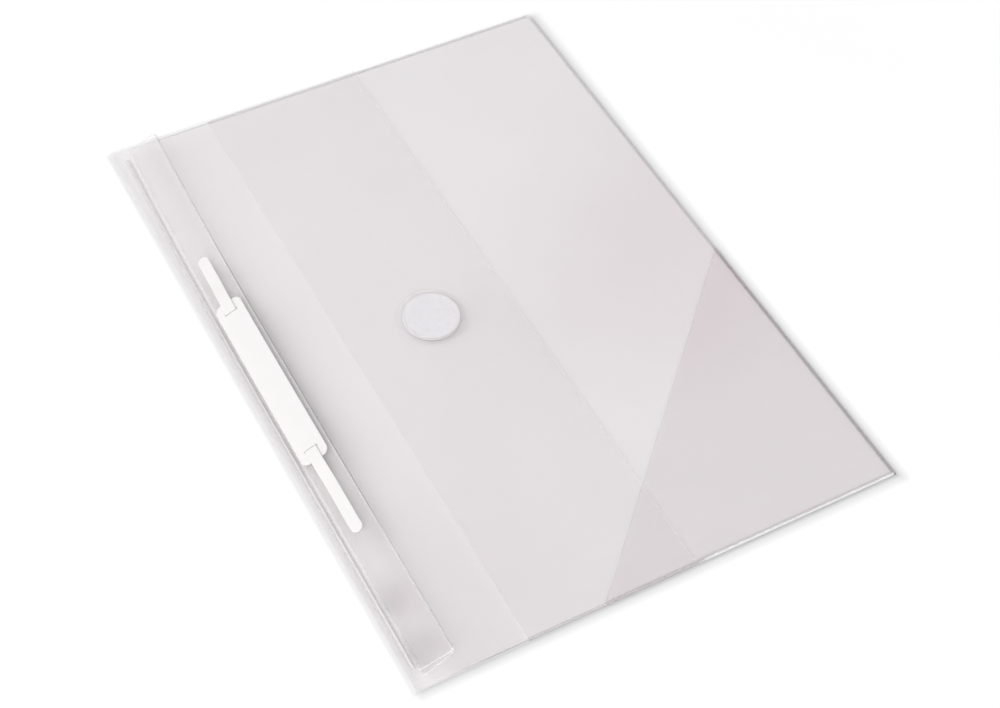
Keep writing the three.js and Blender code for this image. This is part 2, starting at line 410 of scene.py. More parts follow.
def corner_sheet(sizes):
    """The corner pocket: a triangle whose far side runs at 45 degrees, from a blunt tip."""
    tip, blunt = RIGHT - CORNER_LEG, 0.4 * MM
    x_lines = graded(tip + blunt, RIGHT - INSIDE_WELD, sizes.grid_step)
    shares = graded(0, CORNER_LEG, sizes.grid_step)[None, :] / CORNER_LEG
    x = np.repeat(x_lines[:, None], shares.shape[1], axis=1)
    near = NEAR + 0.3 * MM
    diagonal = NEAR + (x - tip)
    y = near + shares * (diagonal - near)
    slanted = (diagonal - y) / math.sqrt(2)
    beyond_flap = smoothstep(x, FLAP_EDGE - MM, FLAP_EDGE + 5 * MM)
    marks = {"dark_line": 0.036 * beyond_flap + 0.10 * peak(slanted, sizes.line)}
    return sheet_between("corner_sheet", x, y, corner_under(sizes, x, y), marks)


def flap_sheet(sizes):
    """The closing flap: from the spine's fold to its free edge, draped over the dot.

    Its grid is closer round the dot, where a ring of painted shade lies on the shaded side, away from
    the lamp, and a ring of painted light on the other.
    """
    closer = np.arange(-18, 18.1, 0.8) * MM
    x_lines = np.union1d(graded(FLAP_ROOT, FLAP_EDGE, sizes.grid_step), DOT_CENTRE.x + closer)
    x, y = wallet_grid(sizes, FLAP_ROOT, FLAP_EDGE, x_lines, DOT_CENTRE.y - NEAR + closer)
    cut = 0.25 * peak(FLAP_EDGE - x, sizes.line) + 0.1 * peak(to_ends(y), sizes.line)
    # A ring of painted shade on the dot's side away from the lamp, and painted light round the rest.
    ring = peak(from_dot(x, y) - DOT_RADIUS - 0.8 * MM, MM)
    shaded = smoothstep(np.cos(dot_angle(x, y) + 0.1), 0.1, 0.9)
    return sheet_between("flap_sheet", x, y, flap_under(sizes, x, y), {
        "dark_line": cut + 0.12 * ring * shaded,
        "pale_line": 0.17 * ring * (1 - shaded),
    })


def spine_turn(sizes):
    """The film's turn round the spine: half a circle from the back, then a soft slope to the flap.

    The ends follow the wallet's rounded corners, and the circle is pressed in a little in places.
    """
    radius = FOLD_X - LEFT - FILM / 2
    turn = np.linspace(1.5 * np.pi, 0.5 * np.pi, 25)
    arc = np.stack([FOLD_X + radius * np.cos(turn), FOLD_X - LEFT + radius * np.sin(turn)], -1)
    share = np.linspace(0, 1, 9)[1:]
    landing = FLAP_UNDER + FILM / 2
    slope_x = FOLD_X + share * (FLAP_ROOT - FOLD_X)
    slope_z = arc[-1, 1] + (landing - arc[-1, 1]) * smoothstep(share, 0, 1)
    middle = np.concatenate([arc, np.stack([slope_x, slope_z], -1)])
    y = wallet_grid(sizes, LEFT, RIGHT, middle[:, 0])[1]
    surfaces = []
    for side in (0.5, -0.5):
        line = moved_left(middle, side * FILM)
        up_the_turn = np.sin(np.pi * np.clip(line[:, 1:] / (2 * radius), 0, 1))
        dent = 0.08 * MM * np.sin(y / (23 * MM)) * up_the_turn
        x = line[:, :1] + np.maximum(dent, 0)
        surfaces.append(np.stack([x, y, np.repeat(line[:, 1:], y.shape[1], axis=1)], -1))
    return shell("spine_turn", *surfaces, {"dark_line": 0.1 * peak(to_ends(y), sizes.line)})


# The welds


def weld_section(low, high):
    """A fused edge: a wall on the outside, a rounded crown, and a slope down to the sheets."""
    rise = high - low
    crown = np.linspace(0, np.pi / 2, 7)
    outer = np.stack([0.3 * MM * (1 - np.cos(crown)), low + rise * (0.6 + 0.4 * np.sin(crown))], -1)
    slope = np.array([[0.6 * MM, high], [0.9 * MM, high], [WELD, high - 0.4 * rise], [WELD, low]])
    return np.concatenate([[[0, low], [0, low + 0.15 * rise], [0, low + 0.3 * rise]], outer, slope])


def straight_path(start, end):
    """Points along a straight line, about 4 mm apart."""
    start, end = np.array(start, float), np.array(end, float)
    count = max(2, round(np.linalg.norm(end - start) / (4 * MM)))
    return start + np.linspace(0, 1, count)[:, None] * (end - start)


def edge_weld(name, path, inward, low, high, dark, pale):
    """A weld's section carried along the wallet's edge, with its first coordinate turned inward.

    The foot of its wall gets painted shade and its crown a painted highlight, in a strength for every
    path point.
    """
    section = weld_section(low, high)
    depth, height = section[:, 0], (section[:, 1] - low) / (high - low)
    # Painted shade at the foot of the wall, and a painted highlight on the crown.
    foot = (depth < 0.01 * MM) * (height < 0.5)
    crown = (height > 0.2) * ((depth < 0.7 * MM) + 0.5 * (depth > 0.7 * MM))
    marks = {"dark_line": (dark, foot), "pale_line": (pale, crown)}
    return carried(name, section, path, inward, marks)


def pocket_welds(sizes):
    """The three welds that close the pocket. The right one turns the far corner on an arc."""
    top = FRONT_UNDER + FILM
    near = straight_path((MOUTH, NEAR, 0), (RIGHT - MM, NEAR, 0))
    shine = smoothstep(near[:, 0], FLAP_EDGE - 8 * MM, FLAP_EDGE + 6 * MM)
    far = straight_path((MOUTH, FAR, 0), (RIGHT - sizes.corner, FAR, 0))
    turn = np.linspace(0, np.pi / 2, 12)
    arc = np.stack([np.cos(turn), np.sin(turn), 0 * turn], -1)
    centre = np.array((RIGHT - sizes.corner, FAR - sizes.corner, 0))
    side = straight_path((RIGHT, NEAR, 0), (RIGHT, FAR - sizes.corner, 0))
    path = np.concatenate([side, (centre + sizes.corner * arc)[1:]])
    inward = np.concatenate([np.tile((-1.0, 0, 0), (len(side), 1)), -arc[1:]])
    corner_end = NEAR + CORNER_LEG
    corner_reach = 1 - smoothstep(path[:, 1], corner_end - 4 * MM, corner_end + 4 * MM)
    # The near weld gets a painted highlight past the flap's edge and a little painted shade at its
    # foot, the far weld a faint painted highlight, and the right weld painted shade at its foot along
    # the corner pocket.
    return [
        edge_weld("near_bead", near, (0, 1, 0), 0, top, 0.1, 0.85 * shine),
        edge_weld("far_bead", far, (0, -1, 0), 0, top, 0.0, 0.05),
        edge_weld("right_bead", path, inward, 0, top, 0.85 * corner_reach, 0.0),
    ]


def corner_welds(sizes):
    """The two welds of the corner pocket, on top of the pocket's own."""
    low, high = FRONT_UNDER + FILM, CORNER_UNDER + FILM
    tip = RIGHT - CORNER_LEG + WELD
    near = straight_path((tip, NEAR, 0), (RIGHT - WELD, NEAR, 0))
    right = straight_path((RIGHT, NEAR, 0), (RIGHT, NEAR + CORNER_LEG - WELD, 0))
    beyond_flap = smoothstep(near[:, 0], FLAP_EDGE - 2 * MM, FLAP_EDGE + 6 * MM)
    # A painted highlight on the near weld, strongest beyond the flap, and painted shade at the foot of
    # the right weld.
    return [
        edge_weld("corner_near_bead", near, (0, 1, 0), low, high, 0.0, 0.1 + 0.9 * beyond_flap),
        edge_weld("corner_right_bead", right, (-1, 0, 0), low, high, 0.35, 0.0),
    ]


def seam_bead(sizes):
    """The strip's welded seam: a narrow ridge with painted shade along each side and a painted
    highlight on its crest, leaning with the strip.
    """
    low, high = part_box("strip_seam")
    half, rise = (high.x - low.x) / 2, high.z - low.z
    y = np.linspace(low.y, high.y, 150)
    path = np.stack([SEAM_X + strip_bow(sizes, y), y, 0 * y + low.z], -1)
    across = np.linspace(-1, 1, 17)
    ridge = rise * (0.25 * (1 - across**2) + 0.75 * np.exp(-((across / 0.42) ** 2)))
    section = np.stack([half * across, np.maximum(ridge, 0.02 * MM)], -1)
    section = np.concatenate([section, [[half, 0], [-half, 0]]])
    # Painted shade along both sides of the ridge, uneven along the seam, and a painted highlight on
    # its crest, brighter towards the near end.
    groove_shade = peak(np.abs(section[:, 0]) - 0.95 * MM, 0.3 * MM)
    crest_highlight = peak(section[:, 0], 0.4 * MM) * (section[:, 1] > 0)
    uneven = 0.55 + 0.45 * np.sin(y / (31 * MM)) * np.sin(y / (53 * MM) + 1)
    nearness = 1 - smoothstep(y, NEAR + 20 * MM, FAR)
    marks = {
        "dark_line": (0.07 * (0.6 + 0.4 * uneven), groove_shade),
        "pale_line": (0.25 + 0.6 * nearness, crest_highlight),
    }
    return carried("seam_bead", section, path, (1, 0, 0), marks)


# The filing strip and its fastener


def strip_place(sizes, along, y, out):
    """A place given up the strip from its seam, along the spine and out of the strip's face."""
    x = STRIP_PIVOT.x + along * STRIP_ALONG.x + out * STRIP_OUT.x + strip_bow(sizes, y)
    z = STRIP_PIVOT.z + along * STRIP_ALONG.z + out * STRIP_OUT.z
    return np.stack(np.broadcast_arrays(x, y, z), -1)


def strip_measure(place):
    """A world place as its distance up the strip and out of its face."""
    offset = place - STRIP_PIVOT
    return offset.dot(STRIP_ALONG), offset.dot(STRIP_OUT)


def strip_film(sizes):
    """The strip: one film from its root, out and round a half-round fold, and back above itself.

    The grid's first parameter runs along that section, and the second along the spine. The cut
    ends slant outwards up the strip and round off at the fold. The lower layer is longer at the
    root.
    """
    width, half, root, root_half = 17 * MM, 0.6 * MM, 1.55 * MM, 0.2 * MM
    ramp = root + 2 * MM
    fold = width - FILM / 2 - half
    flat = ramp + (fold - ramp) * np.linspace(0, 1, 14) ** 0.8
    turn = np.linspace(-np.pi / 2, np.pi / 2, 13)[1:-1]
    lead = np.linspace(root, ramp, 5)[:-1]
    lead_out = root_half + (half - root_half) * smoothstep(lead, root, ramp)
    lower = 0 * flat - half
    along = np.concatenate([lead, flat, fold + half * np.cos(turn), flat[::-1], lead[::-1]])
    out = np.concatenate([-lead_out, lower, half * np.sin(turn), -lower, lead_out[::-1]])
    section = np.stack([along, out], -1)
    square, longer, flare, radius = 148.8 * MM, 151.5 * MM, 1.6 * MM, 2.2 * MM
    end = np.where(out > 0, square, longer + (square - longer) * along / width)
    end = end + flare * along / width - arc_drop(width - along, radius)
    shares = graded(-square, square, sizes.grid_step) / square
    y = end[:, None] * shares[None, :]
    near_end = 1 - smoothstep(y, NEAR + 15 * MM, NEAR + 90 * MM)
    long_wave = 0.05 * MM * np.sin(y / (12 * MM) + along[:, None] / (9 * MM))
    short_wave = 0.13 * MM * near_end * np.sin(y / (4.6 * MM) + along[:, None] / (14 * MM))
    loose = smoothstep(along, root, 9 * MM)[:, None] * (1 - bar_nearness(y))
    lift = (long_wave + short_wave) * loose
    surfaces = []
    for side in (-0.5, 0.5):
        moved = moved_left(section, side * FILM)
        surfaces.append(strip_place(sizes, moved[:, :1], y, moved[:, 1:] + lift))
    # The fold's dark line is partly its own look and partly painted shade from the bar, which makes it
    # strongest beside the bar.
    fold_line_and_bar_shade = peak(width - along, 0.5 * MM)[:, None] * (0.55 + 0.45 * bar_nearness(y))
    cut = peak(np.abs(end[:, None]) - np.abs(y), sizes.line)
    # The far cut end looks dark; the near cut end gets a painted highlight, the root painted light
    # beside the seam, and the near end patches of painted dark reflection.
    return shell("strip_film", *surfaces, {
        "dark_line": 0.75 * fold_line_and_bar_shade + 0.2 * cut * (y > 0),
        "pale_line": 0.95 * cut * (y < 0) + 0.12 * peak(along - root, 1.4 * MM)[:, None],
        "dim": np.minimum(1.3 * painted_reflection_patches(along[:, None], y), 1),
    })


def painted_reflection_patches(along, y):
    """Soft patches of painted dark reflection near the strip's near end.

    Each is its place up the strip and along the spine, then its widths in these directions.
    """
    total = 0 * along * y
    for up, beside, wide, long in ((7.1, -118.0, 5.0, 8.0), (6.5, -141.0, 6.0, 8.0)):
        total = total + peak(along - up * MM, wide * MM) * peak(y - beside * MM, long * MM)
    return total


def bar_nearness(y):
    """1 beside the fastener's bar and tongues, falling to 0 beyond them."""
    return 1 - smoothstep(np.abs(y - BAR_Y), 60 * MM, 95 * MM)


def fastener_bar(sizes):
    """The cover bar: a rounded rectangle with rounded edges, a slight crown and a slot by each end."""
    half_width, half_length, radius = 6.3 * MM, 45.75 * MM, 3 * MM
    low, high, crown = 1.0 * MM, 1.8 * MM, 0.08 * MM
    slot_side, slot_half = 2.95 * MM, 0.45 * MM
    slot_y = abs(TONGUE_PIVOTS["far_tongue"].y - BAR_Y)
    fine = (0.04, 0.09, 0.16, 0.25, 0.5, 0.9, 1.4, 2.1, 3.0)
    x_lines = graded(-half_width, half_width, 1.5 * MM, fine)
    x_lines = np.union1d(x_lines, np.round((-slot_side, slot_side), 8))
    slots = [sign * slot_y + edge for sign in (-1, 1) for edge in (-slot_half, slot_half)]
    y_lines = np.union1d(graded(-half_length, half_length, 2.5 * MM, fine), np.round(slots, 8))
    sides = (-half_width, half_width, -half_length, half_length)
    shares = (y_lines + half_length) / (2 * half_length)
    x, y = rounded_grid(sides, [radius] * 4, x_lines, shares)
    x_mid, y_mid = ((lines[:-1] + lines[1:]) / 2 for lines in (x_lines, y_lines))
    across_slot = np.abs(x_mid) < slot_side
    along_slot = np.abs(np.abs(y_mid) - slot_y) < slot_half
    beyond = np.stack([np.abs(x) - (half_width - radius), np.abs(y) - (half_length - radius)])
    inset = radius - np.hypot(*np.maximum(beyond, 0)) - np.minimum(beyond.max(axis=0), 0)
    drop = arc_drop(inset, sizes.round_edge)
    along = strip_measure(TONGUE_PIVOTS["far_tongue"])[0] + x
    upper = high - drop - crown * (x / half_width) ** 2
    top = strip_place(sizes, along, y + BAR_Y, upper)
    bottom = strip_place(sizes, along, y + BAR_Y, low + drop)
    return shell("cover_bar", top, bottom, keep=~np.outer(across_slot, along_slot))


def tongue(sizes, name, reach, outwards):
    """A tongue and the two places between which it bends.

    It goes up through its slot, over on a small radius, along the bar to its end, then down in
    a soft S to the strip, with a round tip. Its edges are under half as thick as its middle.
    """
    pivot = TONGUE_PIVOTS[name]
    middle, height = strip_measure(pivot)
    thickness, half_width, bend, rounding = 0.3 * MM, 2.6 * MM, 0.45 * MM, 0.2 * MM
    bar_end, landing, rest_height = 6.2 * MM, 19 * MM, 1.02 * MM
    quarter = np.pi / 2
    turn = np.linspace(0, quarter, 9)
    riser = np.stack([np.zeros(4), np.linspace(1.1 * MM, height - bend, 4)], -1)
    corner = np.stack([bend * (1 - np.cos(turn)), height - bend + bend * np.sin(turn)], -1)
    tip_run = reach - half_width * (1 - np.sin(np.linspace(0, quarter, 12)))
    run = np.concatenate([np.linspace(bend, reach - half_width, 40)[1:], tip_run[1:]])
    drop = height + (rest_height - height) * smoothstep(run, bar_end, landing)
    line = np.concatenate([riser[:-1], corner, np.stack([run, drop], -1)])
    normal = moved_left(line, 1) - line
    tip = np.clip(line[:, 0] - (reach - half_width), 0, half_width)
    widths = np.sqrt(np.maximum(half_width**2 - tip**2, (0.12 * half_width) ** 2))
    across = np.sin(np.linspace(-quarter, quarter, 17))
    s = middle + np.outer(widths, across)
    inset = np.minimum(np.outer(widths, 1 - np.abs(across)), rounding) / rounding
    half_thick = thickness / 2 * (0.45 + 0.55 * np.sqrt(inset))
    surfaces = []
    for side in (1, -1):
        t = line[:, :1] + side * half_thick * normal[:, :1]
        n = line[:, 1:] + side * half_thick * normal[:, 1:]
        surfaces.append(strip_place(sizes, s, pivot.y + outwards * t, n))
    turned = 1.2 * bend
    start = strip_place(sizes, middle, pivot.y, height - turned)
    end = strip_place(sizes, middle, pivot.y + outwards * turned, height)
    ends = {"start": Vector(start), "end": Vector(end)}
    return shell(f"{name}_leaf", *surfaces), ends


def dot_half(name, node):
    """One half of the dot: a square grid drawn into a disc, with a rounded rim and a nap of loops.

    A point u, v of the square goes to u * sqrt(1 - v*v/2), v * sqrt(1 - u*u/2) of the disc.
    """
    low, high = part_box(node)
    radius = (high.x - low.x) / 2
    middle = (low + high) / 2
    rounding, nap_height = 0.25 * MM, 0.03 * MM
    lines = np.sin(np.linspace(-1, 1, 61) * np.pi / 2)
    u, v = np.meshgrid(lines, lines, indexing="ij")
    x, y = u * np.sqrt(1 - v**2 / 2), v * np.sqrt(1 - u**2 / 2)
    inset = (1 - np.hypot(x, y)) * radius
    nap = nap_height * np.sin(x * 71) * np.sin(y * 67 + 1.3) * smoothstep(inset, 0, MM)
    drop = arc_drop(inset, rounding)
    flat_x, flat_y = middle.x + radius * x, middle.y + radius * y
    top = np.stack([flat_x, flat_y, high.z - nap_height - drop + nap], -1)
    bottom = np.stack([flat_x, flat_y, low.z + nap_height + drop + nap], -1)
    return shell(name, top, bottom)


# Materials

WHITE = (1.0, 1.0, 1.0, 1.0)

# Each film's share of haze, the tint of what shows through it, its mirror strength seen square
# on, the strength of the waves in its gloss and the brightness of its haze.
FILMS = {
    "heavy back film": (0.04, (0.993, 0.986, 0.989), 0.03, 0.08, 1.0),
    "clear film": (0.03, (1.0, 0.9995, 0.9995), 0.022, 0.12, 1.25),
    "flap film": (0.028, (1.0, 0.9995, 0.9995), 0.012, 0.2, 1.3),
    "corner film": (0.015, (0.999, 0.9925, 0.9945), 0.012, 0.25, 1.0),
    "strip film": (0.04, (1.0, 0.999, 0.9995), 0.018, 0.5, 1.25),
    "fused film": (0.10, (0.98, 0.975, 0.98), 0.04, 0.5, 1.0),
}


class Reading:
    """A shader output whose arithmetic adds Math nodes to its tree."""

    def __init__(self, shader, socket):
        self.shader, self.socket = shader, socket

    def maths(self, operation, first, second):
        return self.shader.add("Math", {"operation": operation}, {0: first, 1: second})

    def __add__(self, other):
        return self.maths("ADD", self, other)

    def __sub__(self, other):
        return self.maths("SUBTRACT", self, other)

    def __rsub__(self, other):
        return self.maths("SUBTRACT", other, self)

    def __mul__(self, other):
        return self.maths("MULTIPLY", self, other)

    def __pow__(self, other):
        return self.maths("POWER", self, other)

    __radd__ = __add__
    __rmul__ = __mul__

    def larger(self, other):
        return self.maths("MAXIMUM", self, other)

    def smaller(self, other):
        return self.maths("MINIMUM", self, other)

    def held(self):
        """The same value kept between 0 and 1."""
        return self.larger(0.0).smaller(1.0)


class Shader:
    """A material's or a world's node tree, and the one way in which nodes are added to it."""

    def __init__(self, owner):
        owner.use_nodes = True
        self.owner, self.tree = owner, owner.node_tree
        self.tree.nodes.clear()

    def add(self, kind, settings=None, inputs=None, output=0):
        """Adds a node, sets its settings first and then its inputs, and gives one of its outputs."""
        node = self.tree.nodes.new("ShaderNode" + kind)
        for key, value in (settings or {}).items():
            setattr(node, key, value)
        for key, value in (inputs or {}).items():
            if isinstance(value, Reading):
                self.tree.links.new(value.socket, node.inputs[key])
            else:
                node.inputs[key].default_value = value
        return Reading(self, node.outputs[output]) if node.outputs else None

    def ramp(self, value, stops):
        """The grey that a value gets from stops, which are pairs of a value and its grey."""
        grey = self.add("ValToRGB", {}, {0: value})
        elements = grey.socket.node.color_ramp.elements
        while len(elements) < len(stops):
            elements.new(1.0)
        for element, (place, level) in zip(elements, stops):
            element.position, element.color = place, (level, level, level, 1.0)
        return self.part(grey, "X")

    def mark(self, name):
        """A piece's own attribute, as a number."""
        return self.add("Attribute", {"attribute_name": name}, output="Fac")

    def place(self):
        """Where a point lies on the wallet at rest."""
        return self.add("Attribute", {"attribute_name": "place"}, output="Vector")

    def noise(self, vector, scale, detail=2.0):
        """Soft noise from 0 to 1, with its scale in patches per metre."""
        return self.add("TexNoise", {}, {"Vector": vector, "Scale": scale, "Detail": detail})

    def vector(self, operation, first, second=None, output=0):
        """Vector arithmetic on one vector or two."""
        inputs = {0: first} if second is None else {0: first, 1: second}
        return self.add("VectorMath", {"operation": operation}, inputs, output)

    def part(self, vector, letter):
        """One of a vector's three numbers."""
        return self.add("SeparateXYZ", {}, {0: vector}, output=letter)

    def smooth(self, value, low, high):
        """0 below low, 1 above high, and a smooth S between them."""
        inputs = {"Value": value, "From Min": low, "From Max": high}
        return self.add("MapRange", {"interpolation_type": "SMOOTHSTEP"}, inputs)

    def ray(self, kind):
        """1 for one kind of ray, 0 for all others."""
        return self.add("LightPath", output=f"Is {kind} Ray")

    def glow(self, strength, kind="Emission", colour=WHITE):
        """A surface that sends out light, or a world that does."""
        return self.add(kind, {}, {"Color": colour, "Strength": strength})

    def bump(self, height, strength, distance):
        """A normal tilted by a height."""
        inputs = {"Strength": strength, "Distance": distance, "Height": height}
        return self.add("Bump", {}, inputs)

    def blend(self, factor, first, second):
        """A colour between two colours."""
        return self.add("Mix", {"data_type": "RGBA"}, {0: factor, 6: first, 7: second}, output=2)

    def mix(self, factor, first, second):
        """A surface between two surfaces."""
        return self.add("MixShader", {}, {0: factor, 1: first, 2: second})

    def finish(self, surface):
        """Sends the surface to the output."""
        kind = "OutputWorld" if isinstance(self.owner, bpy.types.World) else "OutputMaterial"
        self.add(kind, {}, {"Surface": surface})
        return self.owner


def rgba(colour, factor=1.0):
    """A property's colour as four numbers."""
    return (*[channel * factor for channel in colour[:3]], 1.0)


def film_material(colours, name):
    """Clear film: mostly see-through, with a thin haze, soft waves in its gloss, denser lines at its
    cut and folded edges, and painted shade and painted light.

    The haze's cover changes in slow clouds. The dark marks, which include painted shade, and the marks
    of painted light colour it and thicken it, and the mark of painted shade and dark reflection only
    darkens it. The gloss grows towards a grazing view as mirror + (1 - mirror) * facing ** 5.
    """
    made = bpy.data.materials.get(name)
    if made:
        return made
    cover, clear, mirror, ripple, bright = FILMS[name]
    cloud, line_cover = 0.4, 0.85
    shader = Shader(bpy.data.materials.new(name))
    place = shader.place()
    dark, pale = shader.mark("dark_line"), shader.mark("pale_line")
    drift = shader.noise(place, 19.0, 0.0)
    warm = shader.blend(drift, rgba(colours.haze, bright), rgba(colours.haze, 1.04 * bright))
    # Painted shade and painted dark reflections darken the haze; the dark marks add painted shade as
    # well as cut edges; the marks of painted light add painted highlights.
    tone = shader.blend(shader.mark("dim"), warm, rgba(colours.edge))
    tone = shader.blend(dark, tone, rgba(colours.edge))
    tone = shader.blend(pale, tone, rgba(colours.pale))
    swell = shader.noise(place, 27.0, 0.0)
    normal = shader.bump(swell, ripple, 1.2 * MM)
    haze = shader.add("BsdfPrincipled", {}, {
        "Base Color": tone, "Roughness": 0.4, "Specular IOR Level": 0.0,
    })
    see_through = shader.add("BsdfTransparent", {}, {"Color": rgba(clear)})
    amount = cover * (1 - cloud / 2 + cloud * drift) + dark * line_cover + pale * line_cover
    body = shader.mix(amount.held(), see_through, haze)
    facing = shader.add("LayerWeight", {}, {"Blend": 0.5, "Normal": normal}, output="Facing")
    gloss = shader.add("BsdfGlossy", {}, {"Roughness": 0.09, "Normal": normal})
    strength = mirror + (1 - mirror) * facing**5.0
    return shader.finish(shader.mix(strength.held(), body, gloss))


def plastic_material(colours):
    """Moulded white plastic: a soft sheen, a fine grain and a faint unevenness of tone."""
    shader = Shader(bpy.data.materials.new("moulded white plastic"))
    place = shader.place()
    tone = shader.noise(place, 140.0)
    grain = shader.noise(place, 5200.0, 3.0)
    sink = shader.noise(place, 260.0, 1.0)
    colour = shader.blend(tone, rgba(colours.plastic, 0.985), rgba(colours.plastic, 1.01))
    normal = shader.bump(grain * 0.25 + sink, 0.25, 0.1 * MM)
    return shader.finish(shader.add("BsdfPrincipled", {}, {
        "Base Color": colour, "Roughness": 0.36 + 0.14 * grain, "Normal": normal,
        "Specular IOR Level": 0.35,
    }))


def fabric_material(colours):
    """Woven nylon tape: small loops in crossed rows, with painted shade making it darker between them.
    """
    shader = Shader(bpy.data.materials.new("hook and loop tape"))
    place = shader.place()
    loops = shader.add("TexVoronoi", {"feature": "F1"}, {"Vector": place, "Scale": 1500.0})
    tufts = shader.noise(place, 420.0, 3.0)
    # Painted shade between the loops, with a random tone in the tufts.
    shade = (1 - loops) * 0.6 + tufts * 0.4
    colour = shader.blend(shade.held(), rgba(colours.fabric, 0.78), rgba(colours.fabric, 1.05))
    normal = shader.bump(shade, 0.7, 0.15 * MM)
    return shader.finish(shader.add("BsdfPrincipled", {}, {
        "Base Color": colour, "Roughness": 0.75 + 0.2 * tufts, "Normal": normal,
        "Sheen Weight": 0.4,
    }))


# Operators


class PieceOperator:
    """What the operators share: each builds its pieces from the scene's own sizes and colours."""

    bl_options = {"REGISTER"}

    def execute(self, context):
        self.build(context.scene.wallet_sizes, context.scene.wallet_colours)
        return {"FINISHED"}


class WALLET_OT_back(PieceOperator, bpy.types.Operator):
    """Lay the back sheet on the table"""

    bl_idname = "wallet.back"
    bl_label = "Back sheet"

    def build(self, sizes, colours):
        film = film_material(colours, "heavy back film")
        dress(back_sheet(sizes), film, "back_panel", "clear_film", "wallet")


class WALLET_OT_pocket(PieceOperator, bpy.types.Operator):
    """Lay the pocket's front sheet and the corner pocket over the back"""

    bl_idname = "wallet.pocket"
    bl_label = "Pocket sheets"

    def build(self, sizes, colours):
        film = film_material(colours, "clear film")
        dress(front_sheet(sizes), film, "front_panel", "clear_film", "wallet")
        film = film_material(colours, "corner film")
        dress(corner_sheet(sizes), film, "corner_pocket", "clear_film", "wallet")


class WALLET_OT_welds(PieceOperator, bpy.types.Operator):
    """Run the fused welds round the pocket and the corner pocket"""

    bl_idname = "wallet.welds"
    bl_label = "Welds"

    def build(self, sizes, colours):
        film = film_material(colours, "fused film")
        nodes = ("near_weld", "far_weld", "right_weld", "corner_near_weld", "corner_right_weld")
        for piece, node in zip(pocket_welds(sizes) + corner_welds(sizes), nodes):
            dress(piece, film, node, "welded_film", "wallet")


class WALLET_OT_flap(PieceOperator, bpy.types.Operator):
    """Turn the film round the spine and drape the closing flap over the dot"""

    bl_idname = "wallet.flap"
    bl_label = "Spine and flap"

    def build(self, sizes, colours):
        film = film_material(colours, "flap film")
        ends = {"start": (FOLD_X, 0, FILM), "end": (FOLD_X, 0, FLAP_UNDER)}
        dress(spine_turn(sizes), film, "spine_fold", "clear_film", "wallet", "flap", **ends)
        dress(flap_sheet(sizes), film, "closure_flap", "clear_film", "flap")


class WALLET_OT_dot(PieceOperator, bpy.types.Operator):
    """Make the two halves of the round hook-and-loop dot"""

    bl_idname = "wallet.dot"
    bl_label = "Closure dot"

    def build(self, sizes, colours):
        fabric = fabric_material(colours)
        dress(dot_half("hook_half", "hook_dot"), fabric, "hook_dot", "dot_fabric", "wallet")
        dress(dot_half("loop_half", "loop_dot"), fabric, "loop_dot", "dot_fabric", "flap")


class WALLET_OT_strip(PieceOperator, bpy.types.Operator):
    """Weld the filing strip along the spine"""

    bl_idname = "wallet.strip"
    bl_label = "Filing strip"

    def build(self, sizes, colours):
        fused = film_material(colours, "fused film")
        dress(seam_bead(sizes), fused, "strip_seam", "welded_film", "flap")
        root, gone = 1.2 * MM, 6 * MM
        lean = Vector((1.0, -0.75 * sizes.bow / SEAM_END, 0.0))
        start = STRIP_PIVOT + root * lean
        ends = {"start": start, "end": start + (gone - root) * lean}
        film = film_material(colours, "strip film")
        dress(strip_film(sizes), film, "filing_strip", "clear_film", "flap", "strip", **ends)


class WALLET_OT_fastener(PieceOperator, bpy.types.Operator):
    """Make the cover bar and the two tongues, and finish the foot inside the strip"""

    bl_idname = "wallet.fastener"
    bl_label = "Paper fastener"

    def build(self, sizes, colours):
        plastic = plastic_material(colours)
        dress(fastener_bar(sizes), plastic, "fastener_bar", "white_plastic", "strip")
        for node, reach, outwards in (("far_tongue", 34 * MM, 1), ("near_tongue", 44 * MM, -1)):
            leaf, ends = tongue(sizes, node, reach, outwards)
            dress(leaf, plastic, node, "white_plastic", "strip", node, **ends)
        foot = frame["nodes"]["fastener_base"]
        foot.data.materials.clear()
        foot.data.materials.append(plastic)


class StageSettings(bpy.types.PropertyGroup):
    """The floor, the light and the camera."""

    daylight: number("Daylight", 0.52, 0, 2, "Strength of the even light from all round")
    lamp: number("Lamp", 22, 0, 500, "Power of the low soft lamp by the spine", "POWER")
    fill: number("Fill", 55, 0, 500, "Power of the high soft lamp by the viewer", "POWER")
    floor: plain_colour("Floor", (0.965, 0.965, 0.965), "The floor")
    lens: number("Lens", 69.56, 10, 300, "Focal length on a sensor 36 mm wide", "CAMERA")


def outside_box(shader, place, middle, half):
    """Distance from a rectangle in plan: below 0 inside it.

    With q = |place - middle| - half it is |max(q, 0)| + min(max(q.x, q.y), 0).
    """
    offset = shader.vector("SUBTRACT", place, (*middle, 0.0))
    beyond = shader.vector("SUBTRACT", shader.vector("ABSOLUTE", offset), (*half, 1.0))
    outer = shader.vector("MAXIMUM", beyond, (0.0, 0.0, 0.0))
    inner = shader.part(beyond, "X").larger(shader.part(beyond, "Y")).smaller(0.0)
    return shader.vector("LENGTH", outer, output="Value") + inner


